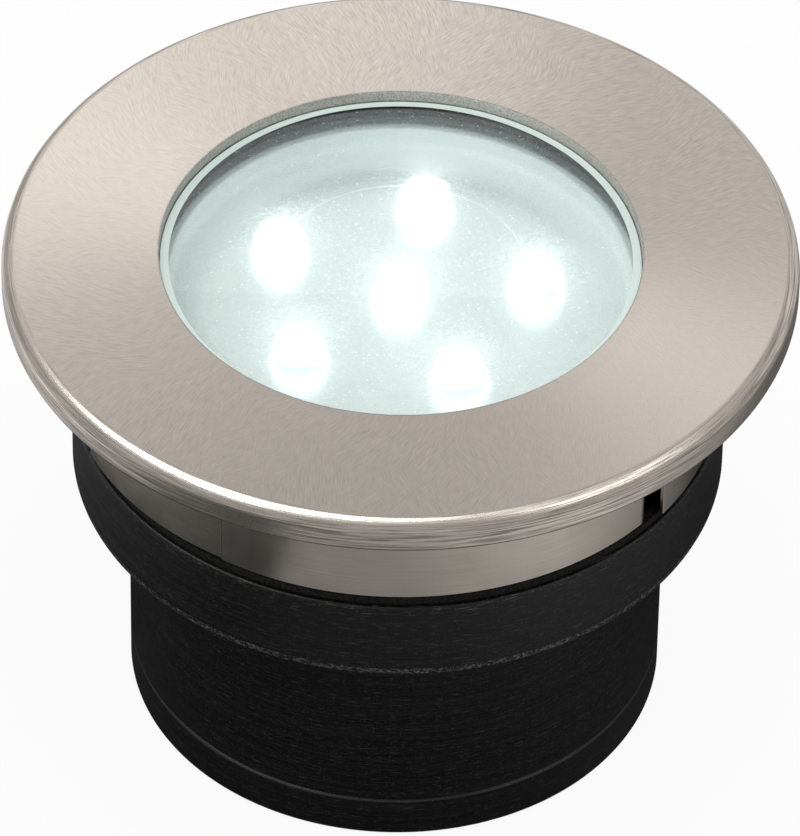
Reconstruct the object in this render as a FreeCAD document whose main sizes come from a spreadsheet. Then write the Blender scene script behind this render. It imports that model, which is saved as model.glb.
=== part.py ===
import FreeCAD, Part
import Sketcher

import math
import os

# A round recessed ground light that stands on its foot: a brushed ring round a glass window, a
# sheet metal skirt with three spring tongues, a sealed lamp housing and a plastic mounting pot.
# The foot is at z = 0, every round piece is turned about the Z axis, and the front looks up.

doc = FreeCAD.newDocument("ground_light")
sheet = doc.addObject("Spreadsheet::Sheet", "sizes")
full_turn = 360
right_angle = 90
half_turn = 180
level = 0.001


class Size:
    """A length or an angle: its number, and the sheet expression that gives it."""

    def __init__(self, value, text):
        self.value = float(value)
        self.text = text

    def __add__(self, other):
        return joined(self, "+", other, self.value + number(other))

    def __radd__(self, other):
        return joined(other, "+", self, number(other) + self.value)

    def __sub__(self, other):
        return joined(self, "-", other, self.value - number(other))

    def __rsub__(self, other):
        return joined(other, "-", self, number(other) - self.value)

    def __mul__(self, other):
        return joined(self, "*", other, self.value * number(other))

    def __rmul__(self, other):
        return joined(other, "*", self, number(other) * self.value)

    def __truediv__(self, other):
        return joined(self, "/", other, self.value / number(other))

    def __neg__(self):
        return joined(0, "-", self, -self.value)


def number(value):
    return value.value if isinstance(value, Size) else float(value)


def words(value):
    return value.text if isinstance(value, Size) else repr(float(value))


def joined(left, sign, right, value):
    return Size(value, f"({words(left)} {sign} {words(right)})")


def cosine(angle):
    return Size(math.cos(math.radians(number(angle))), f"cos({words(angle)} * 1 deg)")


def sine(angle):
    return Size(math.sin(math.radians(number(angle))), f"sin({words(angle)} * 1 deg)")


def arc_angle(length, radius):
    """The angle in degrees that an arc of this length takes up at this radius."""
    return length / radius * half_turn / math.pi


def polar(radius, azimuth):
    return radius * cosine(azimuth), radius * sine(azimuth)


sheet_rows = []


def size(alias, value, meaning):
    """Put a driving dimension in the sheet, as a plain number with an alias."""
    sheet_rows.append(alias)
    row = len(sheet_rows)
    sheet.set(f"A{row}", meaning)
    sheet.set(f"B{row}", str(value))
    sheet.setAlias(f"B{row}", alias)
    return Size(value, f"sizes.{alias}")


# Driving dimensions in millimetres and degrees.

opening_radius = size("opening_radius", 33.3, "hole in the front ring")
rim_overhang = size("rim_overhang", 10.2, "how far the ring reaches past the skirt")
rim_thickness = size("rim_thickness", 5.0, "front ring, top to underside")
edge_drop = size("edge_drop", 2.2, "height of the ring's rounded outer edge")
edge_inset = size("edge_inset", 1.4, "width of the ring's rounded outer edge")
edge_break = size("edge_break", 0.25, "small rounding at the opening")
under_round = size("under_round", 0.6, "rounding under the ring's outer edge")
seat_groove = size("seat_groove", 1.6, "width of the groove under the ring, round the skirt")
groove_depth = size("groove_depth", 0.4, "depth of that groove")
groove_margin = size("groove_margin", 0.2, "groove beyond the skirt")
lip_thickness = size("lip_thickness", 2.6, "lip of the ring over the glass")
glass_recess = size("glass_recess", 1.6, "glass face below the ring's face")
glass_thickness = size("glass_thickness", 4.0, "toughened glass, overall")
glass_lap = size("glass_lap", 3.6, "glass flange beyond the opening")
glass_bevel = size("glass_bevel", 1.3, "width of the bevel round the glass face")
bevel_drop = size("bevel_drop", 0.15, "height of that bevel")
glass_clearance = size("glass_clearance", 0.3, "glass to metal at the sides")
gasket_upper = size("gasket_upper", 0.6, "gasket between lip and glass")
gasket_lower = size("gasket_lower", 0.8, "gasket between glass and housing")
gasket_margin = size("gasket_margin", 0.3, "gasket kept back from the edges of its seat")
screw_land = size("screw_land", 2.9, "glass recess to the screw circle")
flange_land = size("flange_land", 2.8, "screw circle to the edge of the housing flange")
flange_thickness = size("flange_thickness", 2.4, "housing flange")
skirt_clearance = size("skirt_clearance", 1.0, "housing flange to the inside of the skirt")
sheet_metal = size("sheet_metal", 0.6, "thickness of the skirt and its tongues")
skirt_height = size("skirt_height", 18.2, "skirt below the ring")
tongue_length = size("tongue_length", 27.7, "tongue along the arc")
tongue_spring = size("tongue_spring", 1.2, "how far a tongue's free end stands out")
tongue_slot = size("tongue_slot", 1.4, "gap at a tongue's free end")
tongue_clearance = size("tongue_clearance", 0.3, "gap round the rest of a tongue")
bend_radius = size("bend_radius", 1.6, "outside radius of the lip beside each slot")
bend_leg = size("bend_leg", 1.2, "straight part of that lip")
root_azimuth = size("root_azimuth", -2.0, "direction of the first tongue's root")
collar_proud = size("collar_proud", 0.8, "pot collar beyond the skirt")
collar_height = size("collar_height", 13.1, "pot collar")
collar_step = size("collar_step", 7.9, "pot collar beyond the pot tube")
collar_round = size("collar_round", 1.1, "rounding under the collar")
collar_break = size("collar_break", 0.4, "rounding of the collar's top edge")
foam_thickness = size("foam_thickness", 1.3, "foam seal on the collar")
foam_margin = size("foam_margin", 0.6, "foam seal kept back from the collar's edge")
pot_wall = size("pot_wall", 2.5, "wall of the pot")
tube_length = size("tube_length", 32.0, "pot tube between collar and cap")
tube_break = size("tube_break", 0.4, "groove line between tube and cap")
cap_height = size("cap_height", 6.8, "base cap, outside")
cap_floor = size("cap_floor", 3.0, "floor of the base cap")
cap_spigot = size("cap_spigot", 7.2, "cap spigot inside the tube")
cap_wall = size("cap_wall", 2.0, "wall of the cap's spigot")
cap_clearance = size("cap_clearance", 0.1, "spigot in the tube")
cap_round = size("cap_round", 0.8, "rounding of the foot's edge")
cable_way = size("cable_way", 9.0, "radius of the cable hole in the cap")
drain_radius = size("drain_radius", 2.5, "drain holes in the cap")
drain_circle = size("drain_circle", 22.0, "radius of their circle")
cable_space = size("cable_space", 23.0, "cap floor to the bottom of the housing")
housing_wall = size("housing_wall", 2.4, "walls and floor of the housing")
housing_gap = size("housing_gap", 4.2, "housing chamber to the inside of the tube")
housing_round = size("housing_round", 1.5, "rounding of the housing's bottom edge")
bowl_margin = size("bowl_margin", 0.1, "housing bowl beyond the opening")
board_clearance = size("board_clearance", 0.4, "boards and plate to the housing wall")
board_thickness = size("board_thickness", 1.6, "circuit boards")
plate_thickness = size("plate_thickness", 1.0, "reflector plate")
plate_rim = size("plate_rim", 3.2, "upturned edge of the plate above its face")
plate_fillet = size("plate_fillet", 0.9, "inside corner of the plate's edge")
led_count = 6
led_circle = size("led_circle", 19.0, "circle of the outer LEDs")
led_azimuth = size("led_azimuth", 8.0, "direction of the first outer LED")
led_radius = size("led_radius", 3.6, "LED dome")
led_length = size("led_length", 7.0, "LED from the board to its top")
led_flange = size("led_flange", 0.6, "LED flange beyond its dome")
led_foot = size("led_foot", 1.0, "thickness of the LED flange")
led_round = size("led_round", 3.0, "rounding of the LED dome")
led_gap = size("led_gap", 0.5, "LED top to the glass")
led_clearance = size("led_clearance", 0.3, "LED in the plate's hole")
pin_radius = size("pin_radius", 0.3, "LED pins")
pin_spread = size("pin_spread", 1.27, "LED pin from the LED's middle")
pin_tail = size("pin_tail", 1.4, "LED pin below the board")
hole_clearance = size("hole_clearance", 0.1, "pins, screws and threads in their holes")
ring_screw = size("ring_screw", 1.5, "radius of the ring screws")
ring_screw_grip = size("ring_screw_grip", 2.6, "ring screws into the ring")
ring_screw_head = size("ring_screw_head", 2.6, "radius of their heads")
head_height = size("head_height", 2.0, "height of their heads")
small_screw = size("small_screw", 1.2, "radius of the board screws")
small_screw_grip = size("small_screw_grip", 1.6, "board screws into what holds them")
small_screw_head = size("small_screw_head", 2.1, "radius of their heads")
blind_end = size("blind_end", 0.3, "blind hole beyond its screw's end")
post_radius = size("post_radius", 2.6, "driver posts")
post_height = size("post_height", 9.0, "driver board above the housing floor")
post_inset = size("post_inset", 5.6, "post circle inside the housing chamber")
coil_radius = size("coil_radius", 6.5, "coil core flanges")
coil_height = size("coil_height", 11.0, "coil core")
coil_flange = size("coil_flange", 1.4, "thickness of those flanges")
coil_waist = size("coil_waist", 3.0, "core inside the winding")
coil_place = size("coil_place", 13.0, "coil from the axis")
capacitor_radius = size("capacitor_radius", 4.0, "capacitor can")
capacitor_height = size("capacitor_height", 12.0, "capacitor can")
capacitor_place = size("capacitor_place", 14.0, "capacitor from the axis")
chip_length = size("chip_length", 8.0, "driver chip")
chip_width = size("chip_width", 6.0, "driver chip")
chip_height = size("chip_height", 1.8, "driver chip")
rectifier_length = size("rectifier_length", 7.0, "bridge rectifier")
rectifier_width = size("rectifier_width", 5.0, "bridge rectifier")
rectifier_height = size("rectifier_height", 2.6, "bridge rectifier")
rectifier_place = size("rectifier_place", 16.0, "bridge rectifier from the axis")
terminal_length = size("terminal_length", 9.0, "terminal block")
terminal_width = size("terminal_width", 13.0, "terminal block")
terminal_height = size("terminal_height", 7.5, "terminal block")
terminal_inset = size("terminal_inset", 6.2, "terminal block back from the board's edge")
wire_radius = size("wire_radius", 0.8, "link wires")
wire_spread = size("wire_spread", 2.0, "link wire from the middle of the pair")
wire_place = size("wire_place", 22.0, "pair of link wires from the axis")
cable_radius = size("cable_radius", 3.0, "supply cable that the gland takes")
cable_clearance = size("cable_clearance", 0.2, "cable in the gland's seal")
seal_wall = size("seal_wall", 1.3, "wall of the gland's seal")
seal_clearance = size("seal_clearance", 0.1, "seal in the gland body")
seal_length = size("seal_length", 10.0, "gland seal")
thread_wall = size("thread_wall", 1.4, "wall of the gland body")
gland_flange = size("gland_flange", 3.6, "gland body's hexagon beyond its thread")
gland_hex = size("gland_hex", 4.0, "height of that hexagon")
gland_washer_height = size("gland_washer_height", 1.0, "rubber washer")
gland_tail = size("gland_tail", 7.0, "thread below the hexagon")
locknut_height = size("locknut_height", 4.0, "locknut")
locknut_wall = size("locknut_wall", 3.0, "locknut beyond its thread")
locknut_spare = size("locknut_spare", 1.5, "thread beyond the locknut")
nut_wall = size("nut_wall", 2.9, "gland nut beyond its thread")
nut_end = size("nut_end", 2.0, "end wall of the gland nut")
nut_gap = size("nut_gap", 0.5, "gland nut to the hexagon and to the thread's end")
nut_eye = size("nut_eye", 0.6, "gland nut's eye beyond the cable")

# Radii that follow from them, from the opening outwards and then down the pot.

plug_radius = opening_radius - glass_clearance
glass_radius = opening_radius + glass_lap
recess_radius = glass_radius + glass_clearance * 2
screw_circle = recess_radius + screw_land
flange_radius = screw_circle + flange_land
skirt_inner = flange_radius + skirt_clearance
skirt_radius = skirt_inner + sheet_metal
rim_radius = skirt_radius + rim_overhang
collar_radius = skirt_radius + collar_proud
collar_inner = collar_radius - pot_wall
tube_radius = collar_radius - collar_step
tube_inner = tube_radius - pot_wall
bowl_inner = opening_radius + bowl_margin
bowl_radius = bowl_inner + housing_wall
chamber_radius = tube_inner - housing_gap
chamber_inner = chamber_radius - housing_wall
seat_radius = glass_radius + gasket_margin
ledge_circle = (bowl_inner + chamber_inner) / 2
driver_edge = chamber_inner - board_clearance
post_circle = chamber_inner - post_inset
seal_bore = cable_radius + cable_clearance
gland_bore = seal_bore + seal_wall + seal_clearance
thread_radius = gland_bore + thread_wall
gland_hole = thread_radius + hole_clearance

# Heights that follow, from the foot upwards and then from the ring down.

tube_top = cap_height + tube_length
collar_top = tube_top + collar_height
skirt_bottom = collar_top + foam_thickness
ring_under = skirt_bottom + skirt_height
rim_top = ring_under + rim_thickness
lip_under = rim_top - lip_thickness
glass_top = rim_top - glass_recess
glass_bottom = glass_top - glass_thickness
glass_shoulder = lip_under - gasket_upper
skirt_flange = ring_under - sheet_metal
flange_under = skirt_flange - flange_thickness
seat_floor = glass_bottom - gasket_lower
board_top = glass_bottom - led_gap - led_length
plate_under = board_top + led_foot
plate_top = plate_under + plate_thickness
ledge_top = board_top - board_thickness
ledge_under = ledge_top - housing_wall
housing_bottom = cap_floor + cable_space
housing_floor = housing_bottom + housing_wall
driver_under = housing_floor + post_height
driver_top = driver_under + board_thickness
hexagon_top = housing_bottom - gland_washer_height
hexagon_under = hexagon_top - gland_hex
thread_bottom = hexagon_under - gland_tail
nut_top = hexagon_under - nut_gap
nut_inside = thread_bottom - nut_gap
nut_bottom = nut_inside - nut_end

pieces = {}


# Ways of making a piece.

def bind(thing, name, value):
    """Set a property of a document object from the sheet."""
    thing.setExpression(name, words(value))


def place(thing, across=0, deep=0, up=0, azimuth=0):
    """Move an object, and turn it about the Z axis."""
    bind(thing, "Placement.Rotation.Angle", azimuth)
    bind(thing, "Placement.Base.x", across)
    bind(thing, "Placement.Base.y", deep)
    bind(thing, "Placement.Base.z", up)
    return thing


def keep(thing, label):
    """Hand a finished sub-part over for export under its own name."""
    thing.Label = label
    pieces[label] = thing
    return thing


def draw_outline(sketch, corners):
    """Draw a closed outline, counter-clockwise. A third size in a corner is the x of the centre
    of the arc that ends there, and a fourth is its y."""
    count = len(corners)
    for index, corner in enumerate(corners):
        after = corners[(index + 1) % count]
        start = FreeCAD.Vector(number(corner[0]), number(corner[1]), 0)
        end = FreeCAD.Vector(number(after[0]), number(after[1]), 0)
        if len(after) > 2:
            centre = FreeCAD.Vector(number(after[2]), number(after[3]), 0)
            circle = Part.Circle(centre, FreeCAD.Vector(0, 0, 1), (start - centre).Length)
            first = math.atan2(start.y - centre.y, start.x - centre.x)
            last = math.atan2(end.y - centre.y, end.x - centre.x)
            sketch.addGeometry(Part.ArcOfCircle(circle, first, last), False)
        else:
            sketch.addGeometry(Part.LineSegment(start, end), False)
    for index, corner in enumerate(corners):
        following = (index + 1) % count
        sketch.addConstraint(Sketcher.Constraint("Coincident", index, 2, following, 1))
        hold_point(sketch, index, 1, corner)
        if len(corners[following]) > 2:
            hold_distance(sketch, "DistanceX", index, 3, corners[following][2])


def hold_point(sketch, edge, point, corner):
    for axis, kind, value in ((-2, "DistanceX", corner[0]), (-1, "DistanceY", corner[1])):
        if isinstance(value, Size):
            hold_distance(sketch, kind, edge, point, value)
        else:
            sketch.addConstraint(Sketcher.Constraint("PointOnObject", edge, point, axis))


def hold_distance(sketch, kind, edge, point, value):
    index = sketch.addConstraint(Sketcher.Constraint(kind, -1, 1, edge, point, value.value))
    sketch.setExpression(f"Constraints[{index}]", value.text)


def turned(name, corners):
    """A body turned about the Z axis from an outline of (radius, height) corners."""
    body = doc.addObject("PartDesign::Body", name)
    plane = next(item for item in body.Origin.OriginFeatures if item.Role == "XZ_Plane")
    sketch = body.newObject("Sketcher::SketchObject", name + "_outline")
    sketch.AttachmentSupport = [(plane, "")]
    sketch.MapMode = "FlatFace"
    draw_outline(sketch, corners)
    turn = body.newObject("PartDesign::Revolution", name + "_turn")
    turn.Profile = sketch
    turn.ReferenceAxis = (sketch, ["V_Axis"])
    turn.Angle = full_turn
    return body


def rounded(body, radius, spots):
    """Round the turned edges that lie at these (radius, height) spots."""
    doc.recompute()
    base = body.Tip
    names = []
    for index, edge in enumerate(base.Shape.Edges, 1):
        if isinstance(edge.Curve, Part.Circle) and is_at(edge.Curve, spots):
            names.append(f"Edge{index}")
    fillet = body.newObject("PartDesign::Fillet", f"{body.Name}_round")
    fillet.Base = (base, names)
    bind(fillet, "Radius", radius)
    return body


def is_at(circle, spots):
    for radius, height in spots:
        if abs(circle.Radius - number(radius)) < level and abs(circle.Center.z - number(height)) < level:
            return True
    return False


def rod(name, radius, height, across=0, deep=0, up=0, azimuth=0, angle=full_turn):
    """A round rod, or a slice of one that starts at an azimuth."""
    thing = doc.addObject("Part::Cylinder", name)
    bind(thing, "Radius", radius)
    bind(thing, "Height", height)
    bind(thing, "Angle", angle)
    return place(thing, across, deep, up, azimuth)


def block(name, length, width, height, across=0, deep=0, up=0, azimuth=0):
    """A box whose bottom is centred on a point."""
    thing = doc.addObject("Part::Box", name)
    bind(thing, "Length", length)
    bind(thing, "Width", width)
    bind(thing, "Height", height)
    middle = length / 2
    side = width / 2
    start_x = across - middle * cosine(azimuth) + side * sine(azimuth)
    start_y = deep - middle * sine(azimuth) - side * cosine(azimuth)
    return place(thing, start_x, start_y, up, azimuth)


def cut(name, base, tool):
    thing = doc.addObject("Part::Cut", name)
    thing.Base = base
    thing.Tool = tool
    return thing


def fused(name, things):
    thing = doc.addObject("Part::MultiFuse", name)
    thing.Shapes = things
    return thing


def group(name, things):
    """Separate solids that share one name."""
    thing = doc.addObject("Part::Compound", name)
    thing.Links = things
    return thing


def washer(name, inner, outer, bottom, top):
    return turned(name, [(inner, bottom), (outer, bottom), (outer, top), (inner, top)])


def holes(name, radius, spots, bottom, top):
    """Round holes at (x, y) spots, as a tool to cut with."""
    rods = [rod(f"{name}_{index}", radius, top - bottom, across, deep, bottom)
            for index, (across, deep) in enumerate(spots, 1)]
    return group(name, rods)


def hexagon(name, reach, height, up):
    thing = doc.addObject("Part::Prism", name)
    thing.Polygon = 6
    bind(thing, "Circumradius", reach)
    bind(thing, "Height", height)
    return place(thing, up=up)


def screw(name, head, head_tall, shank, length, upside_down):
    """A screw with its head's seat at its own origin, its shank below unless it is upside down."""
    body = turned(name, [(0, -length), (shank, -length), (shank, 0), (head, 0),
                         (head, head_tall), (0, head_tall)])
    if upside_down:
        body.Placement.Rotation = FreeCAD.Rotation(FreeCAD.Vector(1, 0, 0), half_turn)
    return body


def screws(name, spots, seat, head, head_tall, shank, length, upside_down=False):
    """The same screw at several (x, y) spots."""
    bodies = []
    for index, (across, deep) in enumerate(spots, 1):
        body = screw(f"{name}_{index}", head, head_tall, shank, length, upside_down)
        bind(body, "Placement.Base.x", across)
        bind(body, "Placement.Base.y", deep)
        bind(body, "Placement.Base.z", seat)
        bodies.append(body)
    return group(name, bodies)


def round_about(circle, count, first):
    """Evenly spaced (x, y) spots on a circle."""
    return [polar(circle, first + full_turn / count * index) for index in range(count)]


ring_screw_spots = round_about(screw_circle, 6, 20)
ledge_screw_spots = round_about(ledge_circle, 3, 44)
post_spots = round_about(post_circle, 3, 90)
led_spots = [(led_circle * 0, led_circle * 0)] + round_about(led_circle, led_count - 1, led_azimuth)
pin_spots = [(across + pin_spread * side, deep) for across, deep in led_spots for side in (-1, 1)]


# The pot, which stays in the ground.

def mounting_pot():
    """Collar and tube in one moulding, open at both ends."""
    step_inside = tube_top + pot_wall
    body = turned("mounting_pot_turned", [
        (tube_inner, cap_height), (tube_radius - tube_break, cap_height),
        (tube_radius, cap_height + tube_break), (tube_radius, tube_top), (collar_radius, tube_top),
        (collar_radius, collar_top), (collar_inner, collar_top), (collar_inner, step_inside),
        (tube_inner, step_inside)])
    rounded(body, collar_round, [(collar_radius, tube_top)])
    rounded(body, collar_break, [(collar_radius, collar_top)])
    keep(body, "mounting_pot")


def base_cap():
    """Foot of the pot, with a spigot in the tube, a cable hole and drain holes."""
    spigot = tube_inner - cap_clearance
    body = turned("base_cap_turned", [
        (cable_way, 0), (tube_radius, 0), (tube_radius, cap_height - tube_break),
        (tube_radius - tube_break, cap_height), (spigot, cap_height),
        (spigot, cap_height + cap_spigot), (spigot - cap_wall, cap_height + cap_spigot),
        (spigot - cap_wall, cap_floor), (cable_way, cap_floor)])
    rounded(body, cap_round, [(tube_radius, 0)])
    drains = holes("drains", drain_radius, round_about(drain_circle, 6, 0), -cap_floor, cap_floor * 2)
    keep(cut("base_cap_cut", body, drains), "base_cap")


def collar_seal():
    """Foam ring on the collar, under the skirt."""
    keep(washer("collar_seal_turned", collar_inner + gasket_margin, collar_radius - foam_margin,
                collar_top, skirt_bottom), "collar_seal")


# The ring, the glass and the skirt.

def front_ring():
    """Brushed ring with a rounded outer edge, recessed underneath for the glass. A groove round
    the skirt keeps the seat of the overhang clear of the skirt and its tongues."""
    edge_round = (edge_inset * edge_inset + edge_drop * edge_drop) / (edge_inset * 2)
    groove_inner = skirt_radius + groove_margin
    groove_outer = groove_inner + seat_groove
    groove_top = ring_under + groove_depth
    body = turned("front_ring_turned", [
        (recess_radius, ring_under), (groove_inner, ring_under), (groove_inner, groove_top),
        (groove_outer, groove_top), (groove_outer, ring_under), (rim_radius, ring_under),
        (rim_radius, rim_top - edge_drop),
        (rim_radius - edge_inset, rim_top, rim_radius - edge_round, rim_top - edge_drop),
        (opening_radius, rim_top), (opening_radius, lip_under), (recess_radius, lip_under)])
    rounded(body, under_round, [(rim_radius, ring_under)])
    rounded(body, edge_break, [(opening_radius, rim_top)])
    threads = holes("ring_threads", ring_screw + hole_clearance, ring_screw_spots,
                    ring_under - rim_thickness, ring_under + ring_screw_grip + blind_end)
    keep(cut("front_ring_cut", body, threads), "front_ring")


def front_glass():
    """Stepped glass: a bevelled plug in the opening and a flange under the ring's lip."""
    keep(turned("front_glass_turned", [
        (0, glass_bottom), (glass_radius, glass_bottom), (glass_radius, glass_shoulder),
        (plug_radius, glass_shoulder), (plug_radius, glass_top - bevel_drop),
        (plug_radius - glass_bevel, glass_top), (0, glass_top)]), "front_glass")


def gaskets():
    keep(washer("glass_gasket_turned", plug_radius + gasket_margin, glass_radius - gasket_margin,
                glass_shoulder, lip_under), "glass_gasket")
    keep(washer("housing_gasket_turned", bowl_inner + gasket_margin, glass_radius,
                seat_floor, glass_bottom), "housing_gasket")


def tongue_roots():
    """The directions of the three tongues' roots."""
    return [root_azimuth + full_turn / 3 * index for index in range(3)]


def skirt_band():
    """Sheet ring under the front ring, with a flange inside, three windows for the tongues and a
    lip bent inwards beside each tongue's free end."""
    blank = turned("skirt_blank", [
        (skirt_inner, skirt_bottom), (skirt_radius, skirt_bottom), (skirt_radius, ring_under),
        (recess_radius, ring_under), (recess_radius, skirt_flange), (skirt_inner, skirt_flange)])
    window = arc_angle(tongue_clearance + tongue_length + tongue_slot + bend_radius, skirt_radius)
    tall = skirt_flange - skirt_bottom
    reach = skirt_radius + rim_overhang
    windows = [rod(f"window_{index}", reach, tall, up=skirt_bottom, azimuth=root - window, angle=window)
               for index, root in enumerate(tongue_roots(), 1)]
    open_band = cut("skirt_open", blank, group("windows", windows))
    screw_ways = holes("skirt_screw_ways", ring_screw + hole_clearance, ring_screw_spots,
                       skirt_flange - sheet_metal, ring_under + sheet_metal)
    lip_tall = flange_under - head_height - tongue_clearance - skirt_bottom
    lips = [slot_lip(index, root - window, lip_tall) for index, root in enumerate(tongue_roots(), 1)]
    bored = cut("skirt_bored", open_band, screw_ways)
    keep(fused("skirt_joined", [bored] + lips), "skirt_band")


def slot_lip(index, azimuth, tall):
    """The end of the band, bent a quarter turn inwards with a short straight leg."""
    centre = skirt_radius - bend_radius
    across, deep = polar(centre, azimuth)
    outside = rod(f"bend_{index}", bend_radius, tall, across, deep, skirt_bottom, azimuth, right_angle)
    inside = rod(f"bend_inside_{index}", bend_radius - sheet_metal, tall, across, deep, skirt_bottom)
    bend = cut(f"bend_sheet_{index}", outside, inside)
    leg = doc.addObject("Part::Box", f"leg_{index}")
    bind(leg, "Length", bend_leg)
    bind(leg, "Width", sheet_metal)
    bind(leg, "Height", tall)
    start = centre - bend_leg
    side = bend_radius - sheet_metal
    place(leg, start * cosine(azimuth) - side * sine(azimuth),
          start * sine(azimuth) + side * cosine(azimuth), skirt_bottom, azimuth)
    return fused(f"slot_lip_{index}", [bend, leg])


def spring_tongues():
    """Three strips of the skirt's own arc, each swung out about its root."""
    middle = skirt_radius - sheet_metal / 2
    reach = arc_angle(tongue_length, skirt_radius)
    gap = arc_angle(tongue_clearance, skirt_radius)
    flare = arc_angle(tongue_spring, tongue_length)
    bottom = skirt_bottom + tongue_clearance
    tall = skirt_flange - tongue_clearance - bottom
    for index, root in enumerate(tongue_roots(), 1):
        start = root - gap - reach
        outside = rod(f"tongue_outside_{index}", skirt_radius, tall, up=bottom,
                      azimuth=start, angle=reach)
        inside = rod(f"tongue_inside_{index}", skirt_inner, tall, up=bottom)
        strip = cut(f"tongue_{index}", outside, inside)
        hinge_x, hinge_y = polar(middle, root - gap)
        place(strip, hinge_x - hinge_x * cosine(flare) + hinge_y * sine(flare),
              hinge_y - hinge_x * sine(flare) - hinge_y * cosine(flare), azimuth=flare)
        keep(strip, f"spring_tongue_{index}")


# The sealed housing and what is in it.

def lamp_housing():
    """Stepped cup: a flange for the ring's screws, a bowl for the LEDs, a chamber for the driver."""
    body = turned("lamp_housing_turned", [
        (gland_hole, housing_bottom), (chamber_radius, housing_bottom),
        (chamber_radius, ledge_under), (bowl_radius, ledge_under), (bowl_radius, flange_under),
        (flange_radius, flange_under), (flange_radius, skirt_flange), (seat_radius, skirt_flange),
        (seat_radius, seat_floor), (bowl_inner, seat_floor), (bowl_inner, ledge_top),
        (chamber_inner, ledge_top), (chamber_inner, housing_floor), (gland_hole, housing_floor)])
    rounded(body, housing_round, [(chamber_radius, housing_bottom)])
    ring_ways = holes("flange_screw_ways", ring_screw + hole_clearance, ring_screw_spots,
                      flange_under - head_height, skirt_flange + head_height)
    ledge_threads = holes("ledge_threads", small_screw + hole_clearance, ledge_screw_spots,
                          ledge_top - small_screw_grip - blind_end, board_top)
    keep(cut("housing_cut", body, group("housing_holes", [ring_ways, ledge_threads])), "lamp_housing")


def housing_screws():
    keep(screws("ring_screw_set", ring_screw_spots, flange_under, ring_screw_head, head_height,
                ring_screw, flange_thickness + sheet_metal + ring_screw_grip, True), "ring_screws")
    keep(screws("board_screw_set", ledge_screw_spots, board_top, small_screw_head, led_foot,
                small_screw, board_thickness + small_screw_grip), "board_screws")


def reflector_plate():
    """Satin dish with a hole round each LED."""
    radius = bowl_inner - board_clearance / 2
    inside = radius - plate_thickness
    body = turned("reflector_turned", [
        (0, plate_under), (radius, plate_under), (radius, plate_top + plate_rim),
        (inside, plate_top + plate_rim), (inside, plate_top), (0, plate_top)])
    rounded(body, plate_fillet, [(inside, plate_top), (radius, plate_under)])
    ways = holes("led_ways", led_radius + led_clearance, led_spots, plate_under - plate_thickness,
                 plate_top + plate_thickness)
    keep(cut("reflector_cut", body, ways), "reflector_plate")


def leds():
    """A stubby dome on a thin flange, which the plate holds down."""
    for index, (across, deep) in enumerate(led_spots, 1):
        foot = led_radius + led_flange
        body = turned(f"led_turned_{index}", [
            (0, 0), (foot, 0), (foot, led_foot), (led_radius, led_foot), (led_radius, led_length),
            (0, led_length)])
        rounded(body, led_round, [(led_radius, led_length)])
        keep(place(body, across, deep, board_top), f"led_{index}")


def led_board():
    """Round board on the housing's ledge, with the LEDs' pins through it."""
    disc = rod("led_board_disc", bowl_inner - board_clearance, board_thickness, up=ledge_top)
    low = ledge_top - board_thickness
    high = board_top + board_thickness
    pin_ways = holes("pin_ways", pin_radius + hole_clearance, pin_spots, low, high)
    screw_ways = holes("board_screw_ways", small_screw + hole_clearance, ledge_screw_spots, low, high)
    keep(cut("led_board_cut", disc, group("led_board_holes", [pin_ways, screw_ways])), "led_board")
    keep(holes("led_pin_set", pin_radius, pin_spots, ledge_top - pin_tail, board_top), "led_pins")


def link_wires():
    """Two stiff wires from the driver board up to the LED board."""
    across, deep = polar(wire_place, led_azimuth + 36)
    spots = [(across + wire_spread * side, deep) for side in (-1, 1)]
    keep(holes("link_wire_pair", wire_radius, spots, driver_top, ledge_top), "link_wires")


def driver():
    """Driver board on three posts, with its parts."""
    disc = rod("driver_disc", driver_edge, board_thickness, up=driver_under)
    low = driver_under - board_thickness
    ways = holes("driver_screw_ways", small_screw + hole_clearance, post_spots, low,
                 driver_top + board_thickness)
    keep(cut("driver_board_cut", disc, ways), "driver_board")
    posts = holes("post_rods", post_radius, post_spots, housing_floor, driver_under)
    threads = holes("post_threads", small_screw + hole_clearance, post_spots,
                    driver_under - small_screw_grip * 2 - blind_end, driver_top)
    keep(cut("driver_post_set", posts, threads), "driver_posts")
    keep(screws("driver_screw_set", post_spots, driver_top, small_screw_head, led_foot,
                small_screw, board_thickness + small_screw_grip * 2), "driver_screws")


def coil():
    """Drum core with its winding."""
    across, deep = polar(coil_place, led_azimuth + 262)
    low = coil_flange
    high = coil_height - coil_flange
    core = turned("coil_core_turned", [
        (0, 0), (coil_radius, 0), (coil_radius, low), (coil_waist, low), (coil_waist, high),
        (coil_radius, high), (coil_radius, coil_height), (0, coil_height)])
    keep(place(core, across, deep, driver_top), "coil_core")
    winding = washer("coil_winding_turned", coil_waist, coil_radius - coil_flange, low, high)
    keep(place(winding, across, deep, driver_top), "coil_winding")


def driver_parts():
    """Capacitor can, chip and rectifier on the board, terminal block under it."""
    across, deep = polar(capacitor_place, led_azimuth + 142)
    can = turned("capacitor_turned", [
        (0, 0), (capacitor_radius, 0), (capacitor_radius, capacitor_height), (0, capacitor_height)])
    rounded(can, edge_break, [(capacitor_radius, capacitor_height)])
    keep(place(can, across, deep, driver_top), "driver_capacitor")
    keep(block("chip_box", chip_length, chip_width, chip_height, up=driver_top), "driver_chip")
    across, deep = polar(rectifier_place, 0)
    keep(block("rectifier_box", rectifier_length, rectifier_width, rectifier_height, across, deep,
               driver_top), "bridge_rectifier")
    across, deep = polar(driver_edge - terminal_inset - terminal_length / 2, half_turn)
    keep(block("terminal_box", terminal_length, terminal_width, terminal_height, across, deep,
               driver_under - terminal_height), "terminal_block")


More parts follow.
